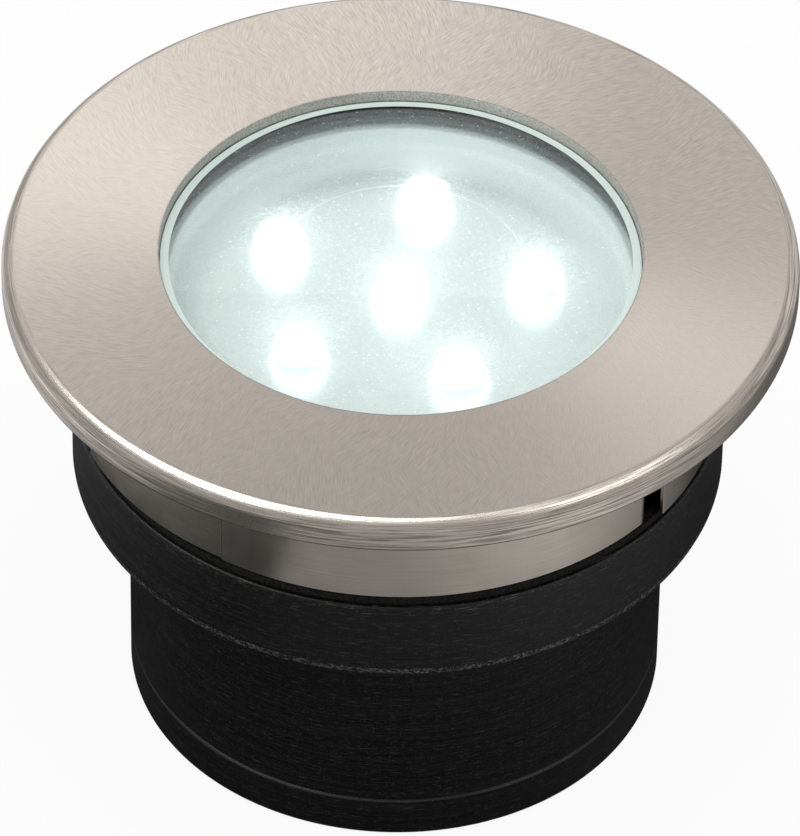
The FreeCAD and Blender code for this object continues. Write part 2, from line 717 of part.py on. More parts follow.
def cable_gland():
    """Gland in the housing's floor, on the axis, with its nut towards the pot's foot."""
    top = housing_floor + locknut_height + locknut_spare
    thread = rod("gland_thread", thread_radius, top - thread_bottom, up=thread_bottom)
    collar = hexagon("gland_hexagon", thread_radius + gland_flange, gland_hex, hexagon_under)
    bore = rod("gland_bore", gland_bore, top, up=thread_bottom - gland_tail)
    keep(cut("gland_cut", fused("gland_joined", [thread, collar]), bore), "gland_body")
    keep(washer("gland_washer_turned", gland_hole, thread_radius + gland_flange - gasket_upper * 2,
                hexagon_top, housing_bottom), "gland_washer")
    locknut = hexagon("locknut_hexagon", thread_radius + locknut_wall, locknut_height, housing_floor)
    locknut_bore = rod("locknut_bore", gland_hole, locknut_height * 3, up=housing_bottom)
    keep(cut("locknut_cut", locknut, locknut_bore), "gland_locknut")
    keep(washer("gland_seal_turned", seal_bore, seal_bore + seal_wall, nut_inside,
                nut_inside + seal_length), "gland_seal")
    nut = hexagon("nut_hexagon", thread_radius + nut_wall, nut_top - nut_bottom, nut_bottom)
    nut_bore = rod("nut_bore", gland_hole, gland_tail * 2, up=nut_inside)
    eye = rod("nut_eye", cable_radius + nut_eye, gland_tail, up=nut_bottom - nut_end)
    keep(cut("nut_cut", nut, fused("nut_inside", [nut_bore, eye])), "gland_nut")


def check(thing, label):
    """Stop if a sub-part, or anything it was made from, has failed."""
    shape = thing.Shape
    if shape.isNull() or not shape.isValid() or not shape.Solids:
        raise ValueError(f"{label} has no sound solid")


def build():
    mounting_pot()
    base_cap()
    collar_seal()
    front_ring()
    front_glass()
    gaskets()
    skirt_band()
    spring_tongues()
    lamp_housing()
    housing_screws()
    reflector_plate()
    leds()
    led_board()
    link_wires()
    driver()
    coil()
    driver_parts()
    cable_gland()
    doc.recompute()
    for thing in doc.Objects:
        if "Invalid" in thing.State or "Error" in thing.State:
            raise ValueError(f"{thing.Name} did not build: {thing.State}")
    os.makedirs("parts", exist_ok=True)
    for label, thing in pieces.items():
        check(thing, label)
        thing.Shape.exportStep(f"parts/{label}.step")
        print(label, len(thing.Shape.Solids), round(thing.Shape.Volume, 1))


build()
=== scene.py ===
"""In-ground well light: brushed ring, glass over six LEDs, spring skirt and black mounting pot.

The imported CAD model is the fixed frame. The pieces that show are modelled again here with softer
edges and finer surfaces, and the rest of the CAD keeps its shape and gets a proper finish."""

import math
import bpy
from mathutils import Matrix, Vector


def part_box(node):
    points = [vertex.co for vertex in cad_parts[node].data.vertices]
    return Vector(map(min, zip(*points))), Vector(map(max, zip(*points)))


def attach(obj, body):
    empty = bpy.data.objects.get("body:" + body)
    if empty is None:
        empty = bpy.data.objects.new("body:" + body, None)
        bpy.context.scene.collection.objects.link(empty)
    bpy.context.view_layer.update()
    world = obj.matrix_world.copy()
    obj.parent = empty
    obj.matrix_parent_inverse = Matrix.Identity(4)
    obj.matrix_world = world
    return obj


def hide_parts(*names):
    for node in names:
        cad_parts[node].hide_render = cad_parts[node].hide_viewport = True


bl_info = {
    "name": "In-Ground Well Light",
    "version": (1, 0, 0),
    "blender": (4, 5, 0),
    "location": "View3D > Sidebar > Well Light",
    "description": "Builds a recessed ground light around its packed frame",
    "category": "Add Mesh",
}

import bpy
from mathutils import Matrix, Vector

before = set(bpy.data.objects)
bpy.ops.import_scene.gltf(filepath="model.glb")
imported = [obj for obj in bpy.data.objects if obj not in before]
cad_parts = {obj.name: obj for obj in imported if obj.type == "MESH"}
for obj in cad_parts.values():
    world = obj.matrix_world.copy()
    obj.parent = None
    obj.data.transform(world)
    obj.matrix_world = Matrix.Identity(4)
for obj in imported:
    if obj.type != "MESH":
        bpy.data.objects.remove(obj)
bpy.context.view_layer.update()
MM = 0.001
AROUND = 256


# Sizes and colours.

def colour(hex_code):
    """An sRGB hex value as linear red, green, blue and alpha."""
    parts = [int(hex_code[i:i + 2], 16) / 255 for i in (1, 3, 5)]
    linear = [p / 12.92 if p <= 0.04045 else ((p + 0.055) / 1.055) ** 2.4 for p in parts]
    return (*linear, 1.0)


def length(name, millimetres, meaning):
    """A length property that is given in millimetres."""
    return bpy.props.FloatProperty(name=name, description=meaning, default=millimetres * MM,
                                   unit='LENGTH', precision=5)


def angle(name, degrees, meaning):
    """An angle property that is kept in degrees."""
    return bpy.props.FloatProperty(name=name, description=meaning + ", in degrees", default=degrees)


def paint(name, hex_code, meaning):
    """A colour property that is given as an sRGB hex value."""
    return bpy.props.FloatVectorProperty(name=name, description=meaning, size=4, subtype='COLOR',
                                         default=colour(hex_code), min=0, max=1)


class WellLightSizes(bpy.types.PropertyGroup):
    """Sizes that the frame's boxes don't give."""
    opening: length("Opening", 33.3, "Radius of the hole in the ring")
    lip: length("Lip", 2.6, "Thickness of the ring over the glass")
    recess: length("Recess", 37.5, "Radius of the recess for the glass")
    edge_inset: length("Edge width", 1.4, "Width of the ring's rounded outer edge")
    edge_drop: length("Edge height", 2.2, "Height of the ring's rounded outer edge")
    under_round: length("Under rounding", 0.6, "Rounding under the ring's outer edge")
    groove_width: length("Groove", 1.6, "Width of the groove under the ring")
    groove_depth: length("Groove depth", 0.4, "Depth of that groove")
    pane_bevel: length("Glass bevel", 1.2, "Width of the ground bevel round the glass")
    bevel_drop: length("Bevel height", 0.15, "Height of that bevel")
    dome_round: length("Dome", 3.0, "Rounding of an LED's dome")
    plug: length("Glass plug", 33.2, "Radius of the raised part of the glass")
    flange: length("Glass flange", 2.4, "Thickness of the glass under the ring's lip")
    sheet: length("Sheet", 0.6, "Thickness of the skirt and its tongues")
    collar_inner: length("Collar inside", 43.1, "Inner radius of the pot's collar")
    collar_foot: length("Collar foot", 38.8, "Height of the collar's underside")
    tube: length("Tube", 37.7, "Outer radius of the pot's tube")
    pot_wall: length("Pot wall", 2.5, "Wall of the pot")
    collar_round: length("Collar rounding", 1.1, "Rounding under the collar")
    soft_edge: length("Soft edge", 0.12, "Rounding of the small edges")
    screw_circle: length("Screw circle", 40.4, "Circle of the ring's screws")
    screw_way: length("Screw hole", 1.6, "Radius of the holes for the ring's screws")
    lip_height: length("Lip height", 12.9, "Height of the bent lip beside each tongue")
    bend_radius: length("Bend", 1.6, "Outside radius of that lip's bend")
    bend_leg: length("Bend leg", 1.2, "Straight part of that lip")
    window: angle("Window", 39.65, "Opening in the skirt for a tongue")
    reach: angle("Tongue", 35.43, "Length of a tongue round the axis")
    root_gap: angle("Root gap", 0.384, "Clearance at a tongue's root")
    flare: angle("Flare", 2.482, "How far a tongue is swung out")
    tongue_roots: bpy.props.FloatVectorProperty(
        name="Tongue roots", description="Directions of the tongues' roots, in degrees",
        default=(-2, 118, 238))


class WellLightColours(bpy.types.PropertyGroup):
    """The colours that a user would change."""
    ring: paint("Ring", "#DAD1C7", "Brushed stainless steel")
    skirt: paint("Skirt", "#CBC2B8", "Satin stainless sheet")
    pot: paint("Pot", "#090909", "Black moulded plastic")
    foam: paint("Foam", "#121110", "Black closed-cell foam")
    glass: paint("Glass", "#F7FBFA", "Toughened glass")
    bevel: paint("Glass edge", "#E2F1EC", "Ground bevel of the glass")
    plate: paint("Plate", "#DFE5E3", "Satin aluminium behind the LEDs")
    glow: paint("Glow", "#F2FAFF", "Light of the LEDs")


# Ways of shaping a piece.

def deselect():
    """Leave nothing selected."""
    bpy.ops.object.select_all(action='DESELECT')


def activate(piece):
    """Make this the one selected and active object."""
    deselect()
    piece.select_set(True)
    bpy.context.view_layer.objects.active = piece


def named(name):
    """Name the object just made and apply its place, turn and scale."""
    piece = bpy.context.object
    piece.name = name
    piece.data.name = name
    bpy.ops.object.transform_apply(location=True, rotation=True, scale=True)
    return piece


def arc(centre_radius, centre_height, radius, first, last, steps):
    """Points on an arc of an outline, from one angle to another in degrees."""
    points = []
    for step in range(steps + 1):
        turn = math.radians(first + (last - first) * step / steps)
        points.append((centre_radius + radius * math.cos(turn),
                       centre_height + radius * math.sin(turn)))
    return points


def lathe(name, outline, solid_core=False, around=AROUND):
    """Turn an outline of (radius, height) points about the Z axis. A solid core closes both ends
    with a flat face; otherwise the last point joins the first."""
    deselect()
    radius, height = outline[0]
    bpy.ops.mesh.primitive_circle_add(vertices=around, radius=radius, location=(0, 0, height),
                                      fill_type='NGON' if solid_core else 'NOTHING')
    piece = named(name)
    bpy.ops.object.mode_set(mode='EDIT')
    bpy.ops.mesh.select_all(action='SELECT')
    rest = outline[1:] if solid_core else outline[1:] + outline[:1]
    for next_radius, next_height in rest:
        rise = {"value": (0, 0, next_height - height)}
        bpy.ops.mesh.extrude_region_move(TRANSFORM_OT_translate=rise)
        if abs(next_radius - radius) > 1e-9:
            grow = next_radius / radius
            bpy.ops.transform.resize(value=(grow, grow, 1), center_override=(0, 0, next_height))
        radius, height = next_radius, next_height
    close_mesh()
    return piece


def close_mesh():
    """Merge doubles, turn the faces outwards and leave edit mode."""
    bpy.ops.mesh.select_all(action='SELECT')
    bpy.ops.mesh.remove_doubles(threshold=2e-6)
    bpy.ops.mesh.normals_make_consistent(inside=False)
    bpy.ops.object.mode_set(mode='OBJECT')


def soften(piece, width, sharper_than=20):
    """Round the sharp edges and shade the rest smooth."""
    activate(piece)
    bpy.ops.object.modifier_add(type='BEVEL')
    bevel = piece.modifiers[-1]
    bevel.width = width
    bevel.segments = 2
    bevel.limit_method = 'ANGLE'
    bevel.angle_limit = math.radians(sharper_than)
    bpy.ops.object.modifier_apply(modifier=bevel.name)
    return smooth(piece)


def smooth(piece):
    """Shade smooth between sharp edges, with the large faces kept true beside small roundings."""
    activate(piece)
    bpy.ops.object.shade_smooth_by_angle(angle=math.radians(35))
    bpy.ops.object.modifier_add(type='WEIGHTED_NORMAL')
    weighted = piece.modifiers[-1]
    weighted.keep_sharp = True
    bpy.ops.object.modifier_apply(modifier=weighted.name)
    return piece


def drill(piece, spots, radius, low, high):
    """Cut round holes at (x, y) spots."""
    deselect()
    drills = []
    for across, deep in spots:
        bpy.ops.mesh.primitive_cylinder_add(vertices=48, radius=radius, depth=high - low,
                                            location=(across, deep, (low + high) / 2))
        drills.append(bpy.context.object)
    for tool in drills:
        tool.select_set(True)
    bpy.ops.object.join()
    tool = bpy.context.object
    activate(piece)
    bpy.ops.object.modifier_add(type='BOOLEAN')
    boolean = piece.modifiers[-1]
    boolean.object = tool
    boolean.solver = 'EXACT'
    bpy.ops.object.modifier_apply(modifier=boolean.name)
    bpy.data.objects.remove(tool)
    smooth(piece)


def spot(radius, azimuth):
    """A place on a circle about the axis, its direction in degrees."""
    turn = math.radians(azimuth)
    return radius * math.cos(turn), radius * math.sin(turn)


def screw_spots(sizes):
    """The places of the ring's six screws."""
    return [spot(sizes.screw_circle, 20 + 60 * index) for index in range(6)]


def hand_over(piece, body, slot, *nodes):
    """The piece rides on a body and stands for these nodes."""
    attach(piece, body)
    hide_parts(*nodes)


# Ways of making a material.

def add(tree, kind, inputs=None, **settings):
    """Add a node with its settings, and its inputs as values or links."""
    made = tree.nodes.new(kind)
    for name, value in settings.items():
        setattr(made, name, value)
    for name, value in (inputs or {}).items():
        if isinstance(value, bpy.types.NodeSocket):
            tree.links.new(value, made.inputs[name])
        else:
            made.inputs[name].default_value = value
    return made


def surface(name, **sockets):
    """A material with one shader whose sockets have these constant values."""
    material = bpy.data.materials.new(name)
    material.use_nodes = True
    tree = material.node_tree
    tree.nodes.clear()
    shader = add(tree, "ShaderNodeBsdfPrincipled")
    for key, value in sockets.items():
        shader.inputs[key.replace("_", " ")].default_value = value
    add(tree, "ShaderNodeOutputMaterial", {"Surface": shader.outputs[0]})
    return material, tree, shader


def show(tree, shader):
    """Link another shader to the material's output."""
    output = next(node for node in tree.nodes if node.type == 'OUTPUT_MATERIAL')
    tree.links.new(shader.outputs[0], output.inputs["Surface"])


def wear(piece, *materials):
    """Give a piece these materials and no others."""
    piece.data.materials.clear()
    for material in materials:
        piece.data.materials.append(material)


def round_place(tree, mean_radius):
    """Object coordinates unrolled about the axis: distance round, distance out and height."""
    place = add(tree, "ShaderNodeTexCoord").outputs["Object"]
    axes = add(tree, "ShaderNodeSeparateXYZ", {0: place})
    turn = combine(tree, 'ARCTAN2', axes.outputs[1], axes.outputs[0])
    along = combine(tree, 'MULTIPLY', turn, mean_radius)
    flat = add(tree, "ShaderNodeCombineXYZ", {0: axes.outputs[0], 1: axes.outputs[1]})
    out = add(tree, "ShaderNodeVectorMath", {0: flat.outputs[0]}, operation='LENGTH')
    unrolled = add(tree, "ShaderNodeCombineXYZ",
                   {0: along, 1: out.outputs["Value"], 2: axes.outputs[2]})
    return unrolled.outputs[0], out.outputs["Value"], axes.outputs[2], place


def strokes(tree, place, round_mm, out_mm, turn, detail=3.0):
    """Noise in strokes that measure this much round the axis and this much outwards or upwards,
    then turned in the unrolled plane by an angle in degrees."""
    turned_place = add(tree, "ShaderNodeMapping", {
        "Vector": place, "Rotation": (0, 0, math.radians(turn)),
        "Scale": (round_mm * MM, out_mm * MM, out_mm * MM)}, vector_type='TEXTURE')
    noise = add(tree, "ShaderNodeTexNoise", {"Vector": turned_place.outputs[0], "Scale": 1.0,
                                             "Detail": detail, "Roughness": 0.6})
    return noise.outputs[0]


def grain(tree, place, size_mm, detail=3.0):
    """Even noise of this grain."""
    noise = add(tree, "ShaderNodeTexNoise", {"Vector": place, "Scale": 1 / (size_mm * MM),
                                             "Detail": detail, "Roughness": 0.6})
    return noise.outputs[0]


def spread(tree, value, low, high, to_low=0.0, to_high=1.0):
    """Spread a value's range onto another, held at its ends."""
    made = add(tree, "ShaderNodeMapRange", {0: value, 1: low, 2: high, 3: to_low, 4: to_high})
    return made.outputs[0]


def combine(tree, operation, *values):
    """One step of arithmetic on values."""
    return add(tree, "ShaderNodeMath", dict(enumerate(values)), operation=operation).outputs[0]


def mix(tree, share, first, second):
    """Mix two values."""
    return add(tree, "ShaderNodeMix", {0: share, 2: first, 3: second}).outputs[0]


def blend(tree, share, first, second):
    """Mix two colours."""
    return add(tree, "ShaderNodeMix", {0: share, 6: first, 7: second}, data_type='RGBA').outputs[2]


def shade(code, factor):
    """A colour made lighter or darker."""
    return (*[min(1.0, c * factor) for c in code[:3]], 1.0)


def bump(tree, shader, height, depth_mm, strength):
    """Fine relief from a value."""
    made = add(tree, "ShaderNodeBump", {"Height": height, "Distance": depth_mm * MM,
                                        "Strength": strength})
    tree.links.new(made.outputs[0], shader.inputs["Normal"])


# The materials.

def brushed_steel(code, opening):
    """Stainless plate, orbital-brushed: short crossing strokes over the face, light and dark
    streaks round its edge with painted shade that sets the edge darker than the face, and a dull
    turned bore. The eye sees a satin sheen with directions in it."""
    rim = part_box("front_ring")[1].x
    material, tree, shader = surface("brushed_stainless_steel", Metallic=1.0)
    unrolled, out, _, place = round_place(tree, 44 * MM)
    first = strokes(tree, unrolled, 0.17, 2.0, 32, 2.0)
    second = strokes(tree, unrolled, 0.17, 2.0, -14, 2.0)
    streaks = strokes(tree, unrolled, 6.0, 0.15, 0)
    patches = spread(tree, grain(tree, place, 14.0, 1.0), 0.42, 0.58)
    at_edge = spread(tree, out, rim - 1.9 * MM, rim - 1.5 * MM)
    in_bore = spread(tree, out, opening + 0.3 * MM, opening + 0.1 * MM)
    lines = mix(tree, at_edge, mix(tree, patches, first, second), streaks)
    face_tone = blend(tree, spread(tree, lines, 0.3, 0.7), shade(code, 0.80), shade(code, 1.12))
    # Painted shade: the edge's streaks run darker overall than the face's tone.
    edge_streaks_and_shade = blend(tree, spread(tree, streaks, 0.36, 0.62), shade(code, 0.42), shade(code, 1.15))
    bore_tone = blend(tree, spread(tree, grain(tree, place, 0.3), 0.3, 0.7), colour("#8C8884"),
                      colour("#C4BFBA"))
    tone = blend(tree, in_bore, blend(tree, at_edge, face_tone, edge_streaks_and_shade), bore_tone)
    tree.links.new(tone, shader.inputs["Base Color"])
    face_gloss = spread(tree, lines, 0.25, 0.75, 0.38, 0.26)
    edge_gloss = spread(tree, streaks, 0.34, 0.66, 0.46, 0.16)
    tree.links.new(mix(tree, at_edge, face_gloss, edge_gloss), shader.inputs["Roughness"])
    tangent = add(tree, "ShaderNodeTangent", direction_type='RADIAL', axis='Z')
    tree.links.new(tangent.outputs[0], shader.inputs["Tangent"])
    tree.links.new(spread(tree, at_edge, 0, 1, 0.7, 0.2), shader.inputs["Anisotropic"])
    bump(tree, shader, lines, 0.02, 0.8)
    return material


def satin_sheet(code):
    """Rolled stainless strip: faint lines along the strip and an even satin gloss."""
    material, tree, shader = surface("satin_stainless_sheet", Metallic=1.0, Anisotropic=0.2)
    unrolled, _, _, place = round_place(tree, 44.8 * MM)
    lines = strokes(tree, unrolled, 18.0, 0.16, 0)
    smears = grain(tree, place, 9.0, 2.0)
    tone = blend(tree, spread(tree, lines, 0.3, 0.7), shade(code, 0.9), shade(code, 1.06))
    tree.links.new(tone, shader.inputs["Base Color"])
    tree.links.new(spread(tree, smears, 0.3, 0.7, 0.20, 0.30), shader.inputs["Roughness"])
    bump(tree, shader, lines, 0.006, 0.4)
    return material


def scuffed_plastic(code, collar_foot):
    """Black moulded polypropylene, turned after moulding: level lines with scratches and specks,
    most of them at the collar's top, and a painted highlight: a speckled grey line along the
    collar's lower edge."""
    collar_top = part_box("mounting_pot")[1].z
    material, tree, shader = surface("scuffed_black_polypropylene", Specular_IOR_Level=0.34)
    unrolled, _, height, place = round_place(tree, 42 * MM)
    lines = strokes(tree, unrolled, 24.0, 0.35, 0, 4.0)
    specks = spread(tree, grain(tree, place, 0.45, 4.0), 0.60, 0.72)
    scratches = spread(tree, strokes(tree, unrolled, 8.0, 0.2, 5, 4.0), 0.58, 0.68)
    near_top = spread(tree, height, collar_top - 1.9 * MM, collar_top - 0.1 * MM, 0.25, 1.0)
    wear_and_edge_highlight = combine(tree, 'MULTIPLY', combine(tree, 'MAXIMUM', specks, scratches), near_top)
    # Painted highlight: grey specks along the collar's lower edge, mixed in with the real wear.
    painted_edge_highlight = combine(tree, 'COMPARE', height, collar_foot + 0.8 * MM, 0.8 * MM)
    highlight_specks = spread(tree, grain(tree, place, 0.5, 4.0), 0.44, 0.68)
    wear_and_edge_highlight = combine(tree, 'MAXIMUM', wear_and_edge_highlight, combine(tree, 'MULTIPLY', painted_edge_highlight, highlight_specks))
    streaked = blend(tree, spread(tree, lines, 0.35, 0.68), shade(code, 0.6), colour("#121212"))
    tree.links.new(blend(tree, wear_and_edge_highlight, streaked, colour("#5A5958")), shader.inputs["Base Color"])
    tree.links.new(spread(tree, lines, 0.3, 0.7, 0.36, 0.56), shader.inputs["Roughness"])
    bump(tree, shader, lines, 0.03, 0.5)
    return material


def closed_cell_foam(code):
    """Cut foam: open cells on every face, dull and grainy."""
    material, tree, shader = surface("black_closed_cell_foam", Roughness=0.95,
                                     Specular_IOR_Level=0.2)
    place = add(tree, "ShaderNodeTexCoord").outputs["Object"]
    cells = add(tree, "ShaderNodeTexVoronoi", {"Vector": place, "Scale": 1 / (0.45 * MM)})
    pores = spread(tree, cells.outputs["Distance"], 0.1, 0.7)
    tone = blend(tree, pores, shade(code, 0.4), shade(code, 1.8))
    tree.links.new(tone, shader.inputs["Base Color"])
    bump(tree, shader, pores, 0.12, 0.9)
    return material


def pass_light(tree, body, tint):
    """Let the lamps shine through a body of glass, with this tint on their light."""
    in_shadow = add(tree, "ShaderNodeLightPath").outputs["Is Shadow Ray"]
    clear = add(tree, "ShaderNodeBsdfTransparent", {"Color": tint})
    show(tree, add(tree, "ShaderNodeMixShader", {0: in_shadow, 1: body.outputs[0],
                                                 2: clear.outputs[0]}))


def clear_glass(code):
    """Toughened soda-lime glass, polished and faintly green."""
    material, tree, shader = surface("toughened_glass", Transmission_Weight=1.0, IOR=1.5,
                                     Roughness=0.01, Base_Color=code)
    pass_light(tree, shader, shade(code, 0.97))
    return material


def etched_glass(code):
    """The same glass, acid-etched: what lies close under it stays sharp and what lies deeper melts
    into a grainy haze. A painted highlight, a thin pale line of haze, runs round the far LEDs on
    the far half only."""
    material, tree, shader = surface("etched_glass_underside", Transmission_Weight=1.0, IOR=1.5)
    _, out, _, place = round_place(tree, 20 * MM)
    pits = grain(tree, place, 0.36)
    tree.links.new(spread(tree, pits, 0.3, 0.7, 0.16, 0.28), shader.inputs["Roughness"])
    tree.links.new(blend(tree, spread(tree, pits, 0.38, 0.62), shade(code, 0.86), code),
                   shader.inputs["Base Color"])
    bump(tree, shader, pits, 0.035, 0.8)
    deep = add(tree, "ShaderNodeSeparateXYZ", {0: place}).outputs[1]
    # Painted highlight: a pale line of haze round the LEDs, on the far half only.
    highlight_far_half = spread(tree, deep, 3 * MM, 9 * MM)
    line = combine(tree, 'MULTIPLY', combine(tree, 'COMPARE', out, 17.4 * MM, 0.14 * MM), highlight_far_half)
    cloudy = spread(tree, pits, 0.4, 0.6, 0.08, 0.26)
    haze = add(tree, "ShaderNodeBsdfTranslucent", {"Color": shade(code, 0.9)})
    body = add(tree, "ShaderNodeMixShader", {0: mix(tree, line, cloudy, 0.5), 1: shader.outputs[0],
                                             2: haze.outputs[0]})
    pass_light(tree, body, shade(code, 0.75))
    return material


def ground_glass(code):
    """The ground bevel of the glass: white-green and matt, like the edge of a shelf."""
    material, tree, shader = surface("ground_glass_edge", Roughness=0.5, Transmission_Weight=0.15)
    place = add(tree, "ShaderNodeTexCoord").outputs["Object"]
    grit = grain(tree, place, 0.15)
    tree.links.new(blend(tree, spread(tree, grit, 0.3, 0.7), shade(code, 0.93), code),
                   shader.inputs["Base Color"])
    bump(tree, shader, grit, 0.01, 0.4)
    return material


def satin_plate(code):
    """Bead-blasted aluminium: pale, with a fine sparkle and soft mirror images of the LEDs on the
    flat, and dull where its edge is turned up, with painted shade darkening that edge."""
    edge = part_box("reflector_plate")[1].x
    material, tree, shader = surface("blasted_aluminium")
    _, out, _, place = round_place(tree, 20 * MM)
    grit = grain(tree, place, 0.16)
    flat = spread(tree, out, edge - 7.2 * MM, edge - 3.2 * MM, 1.0, 0.0)
    tone = blend(tree, spread(tree, grit, 0.35, 0.65), shade(code, 0.90), shade(code, 1.04))
    # Painted shade: the turned-up edge takes a darker tone than the flat.
    tree.links.new(blend(tree, flat, shade(code, 0.85), tone), shader.inputs["Base Color"])
    tree.links.new(spread(tree, flat, 0, 1, 0.25, 0.7), shader.inputs["Metallic"])
    polish = spread(tree, grit, 0.3, 0.7, 0.14, 0.24)
    tree.links.new(mix(tree, flat, 0.7, polish), shader.inputs["Roughness"])
    bump(tree, shader, grit, 0.01, 0.5)
    return material


def glowing_dome(code):
    """Clear epoxy over a lit chip. Its cap is plain white to the eye; the plate mirrors all of it,
    and gets more light from it than a picture could show."""
    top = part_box("led_1")[1].z
    material, tree, shader = surface("lit_epoxy_dome", Roughness=0.2, Base_Color=code)
    place = add(tree, "ShaderNodeTexCoord").outputs["Object"]
    path = add(tree, "ShaderNodeLightPath")
    height = add(tree, "ShaderNodeSeparateXYZ", {0: place}).outputs[2]
    cap = spread(tree, height, top - 2.9 * MM, top - 2.1 * MM)
    in_mirror = spread(tree, path.outputs["Is Transmission Ray"], 0, 1, 1.0, 0.0)
    clouds = spread(tree, grain(tree, place, 2.5, 1.0), 0.3, 0.7)
    lit = blend(tree, clouds, shade(code, 0.97), code)
    glow = blend(tree, combine(tree, 'MAXIMUM', cap, in_mirror), shade(code, 0.25), lit)
    tree.links.new(glow, shader.inputs["Emission Color"])
    strength = spread(tree, path.outputs["Is Diffuse Ray"], 0, 1, 1.6, 3.6)
    tree.links.new(strength, shader.inputs["Emission Strength"])
    return material


def plain_finish(name, hex_code, roughness, grain_mm, metallic=0.0, contrast=0.12, depth_mm=0.01,
                 lines=None):
    """A moulded, cast or drawn finish: its own grain in colour, gloss and relief, or lines of a
    given length and spacing."""
    code = colour(hex_code)
    material, tree, shader = surface(name, Metallic=metallic)
    if lines:
        pattern = strokes(tree, round_place(tree, 20 * MM)[0], *lines, 0)
    else:
        place = add(tree, "ShaderNodeTexCoord").outputs["Object"]
        pattern = grain(tree, place, grain_mm)
    tone = blend(tree, spread(tree, pattern, 0.3, 0.7), shade(code, 1 - contrast),
                 shade(code, 1 + contrast))
    tree.links.new(tone, shader.inputs["Base Color"])
    tree.links.new(spread(tree, pattern, 0.3, 0.7, roughness * 0.85, roughness * 1.15),
                   shader.inputs["Roughness"])
    bump(tree, shader, pattern, depth_mm, 0.5)
    return material


def finish_hidden_nodes():
    """Finishes for the CAD nodes that keep their shape."""
    rubber = plain_finish("silicone_rubber", "#1B1B1C", 0.6, 0.4)
    nylon = plain_finish("glass_filled_nylon", "#1D1D1F", 0.5, 0.25, depth_mm=0.02)
    gland = plain_finish("moulded_nylon", "#222223", 0.4, 0.6)
    steel = plain_finish("turned_screw_steel", "#B4B4B6", 0.3, 0.3, 1.0)
    laminate = plain_finish("solder_masked_laminate", "#1D5A38", 0.35, 0.35)
    tinned = plain_finish("tinned_copper", "#C9C6BE", 0.25, 0.3, 1.0)
    brass = plain_finish("turned_brass", "#C8A45C", 0.28, 0.3, 1.0)
    ferrite = plain_finish("pressed_ferrite", "#3A3A3D", 0.7, 0.3)
    copper = plain_finish("enamelled_copper", "#B5653A", 0.3, 0.3, 0.8, 0.3, 0.05, (30.0, 0.3))
    sleeve = plain_finish("shrink_sleeve", "#24345E", 0.3, 0.8)
    resin = plain_finish("moulded_epoxy_resin", "#262627", 0.55, 0.15)
    polyamide = plain_finish("moulded_polyamide", "#2F7A44", 0.4, 0.5)
    finishes = {
        rubber: ("glass_gasket", "housing_gasket", "gland_washer", "gland_seal"),
        nylon: ("lamp_housing",), gland: ("gland_body", "gland_locknut", "gland_nut"),
        steel: ("ring_screws", "board_screws", "driver_screws"),
        laminate: ("led_board", "driver_board"), tinned: ("led_pins", "link_wires"),
        brass: ("driver_posts",), ferrite: ("coil_core",), copper: ("coil_winding",),
        sleeve: ("driver_capacitor",), resin: ("driver_chip", "bridge_rectifier"),
        polyamide: ("terminal_block",)}
    for material, nodes in finishes.items():
        for node in nodes:
            wear(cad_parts[node], material)


# The pieces.

class WELLLIGHT_OT_ring(bpy.types.Operator):
    """Brushed ring with its rounded edge, recess, groove and screw holes"""
    bl_idname = "welllight.ring"
    bl_label = "Ring"

    def execute(self, context):
        s = context.scene.well_light_sizes
        low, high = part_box("front_ring")
        rim, under, top = high.x, low.z, high.z
        round_radius = (s.edge_inset ** 2 + s.edge_drop ** 2) / (2 * s.edge_inset)
        centre = rim - round_radius
        top_angle = math.degrees(math.asin(s.edge_drop / round_radius))
        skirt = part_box("skirt_band")[1].x
        groove_margin = 0.2 * MM
        groove_inner = skirt + groove_margin
        groove_outer = groove_inner + s.groove_width
        outline = [(s.opening, top), (s.opening, top - s.lip), (s.recess, top - s.lip),
                   (s.recess, under), (groove_inner, under), (groove_inner, under + s.groove_depth),
                   (groove_outer, under + s.groove_depth), (groove_outer, under)]
        outline += arc(rim - s.under_round, under + s.under_round, s.under_round, -90, 0, 5)
        outline += arc(centre, top - s.edge_drop, round_radius, 0, top_angle, 12)
        ring = lathe("brushed_ring", outline)
        soften(ring, s.soft_edge)
        screw_depth = 2.9 * MM
        drill(ring, screw_spots(s), s.screw_way, under - 1 * MM, under + screw_depth)
        wear(ring, brushed_steel(context.scene.well_light_colours.ring[:], s.opening))
        hand_over(ring, "lamp", "ring_steel", "front_ring")
        return {'FINISHED'}


class WELLLIGHT_OT_pane(bpy.types.Operator):
    """Stepped glass with a ground bevel"""
    bl_idname = "welllight.pane"
    bl_label = "Glass"

    def execute(self, context):
        s = context.scene.well_light_sizes
        c = context.scene.well_light_colours
        low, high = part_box("front_glass")
        outer, bottom, top = high.x, low.z, high.z
        outline = [(outer, bottom), (outer, bottom + s.flange), (s.plug, bottom + s.flange),
                   (s.plug, top - s.bevel_drop), (s.plug - s.pane_bevel, top)]
        pane = lathe("window_pane", outline, solid_core=True)
        soften(pane, 0.05 * MM)
        wear(pane, clear_glass(c.glass[:]), ground_glass(c.bevel[:]), etched_glass(c.glass[:]))
        for face in pane.data.polygons:
            reach = math.hypot(face.center.x, face.center.y)
            rises = face.center.z > bottom + s.flange and reach > s.plug - s.pane_bevel
            under = face.normal.z < -0.9
            face.material_index = 1 if rises else 2 if under else 0
        hand_over(pane, "lamp", "window_glass", "front_glass")
        return {'FINISHED'}


def arc_path(radius, first, last, step=1.5):
    """Points in plan along an arc about the axis, from one azimuth to another."""
    count = max(2, math.ceil(abs(last - first) / step))
    return [Vector((*spot(radius, first + (last - first) * index / count), 0))
            for index in range(count + 1)]


